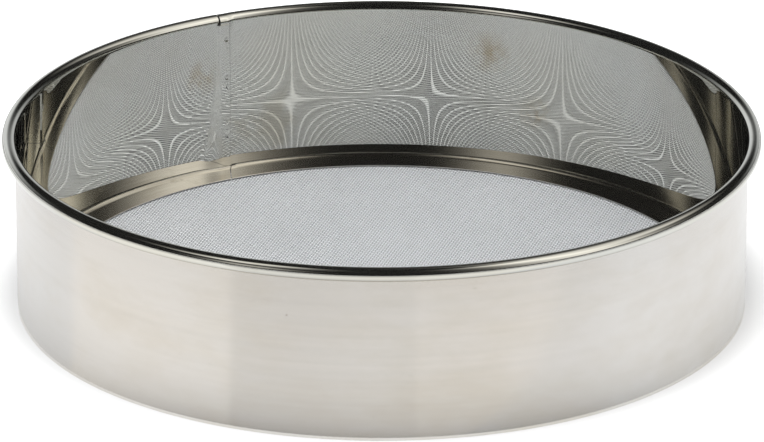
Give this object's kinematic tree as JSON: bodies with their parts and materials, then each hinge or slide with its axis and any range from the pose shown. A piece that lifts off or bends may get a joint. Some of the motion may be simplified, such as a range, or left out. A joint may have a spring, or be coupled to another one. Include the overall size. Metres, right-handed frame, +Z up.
{
  "type": "drum sieve",
  "caption": "Round drum sieve with a rolled rim and a fine square wire cloth clamped between two rings near its lower edge.",
  "frame": {"origin": "centre of the hoop's cut lower edge, in the plane that the sieve stands on", "axes": "+Z up along the drum's axis; -Y is the side towards the camera in the picture; the hoop's seam is at the back, 26 degrees to the left of +Y"},
  "size_m": [0.3156, 0.3156, 0.0754],
  "materials": {
    "hoop_steel": "satin outside with fine lines along the hoop, mirror polished inside",
    "ring_steel": "polished",
    "wire_steel": "drawn wire, bright"
  },
  "bodies": {
    "root": {"drum_wall": "hoop_steel", "upper_ring": "ring_steel", "warp_wires": "wire_steel", "weft_wires": "wire_steel", "cloth_hem": "wire_steel", "lower_ring": "ring_steel"}
  },
  "joints": []
}
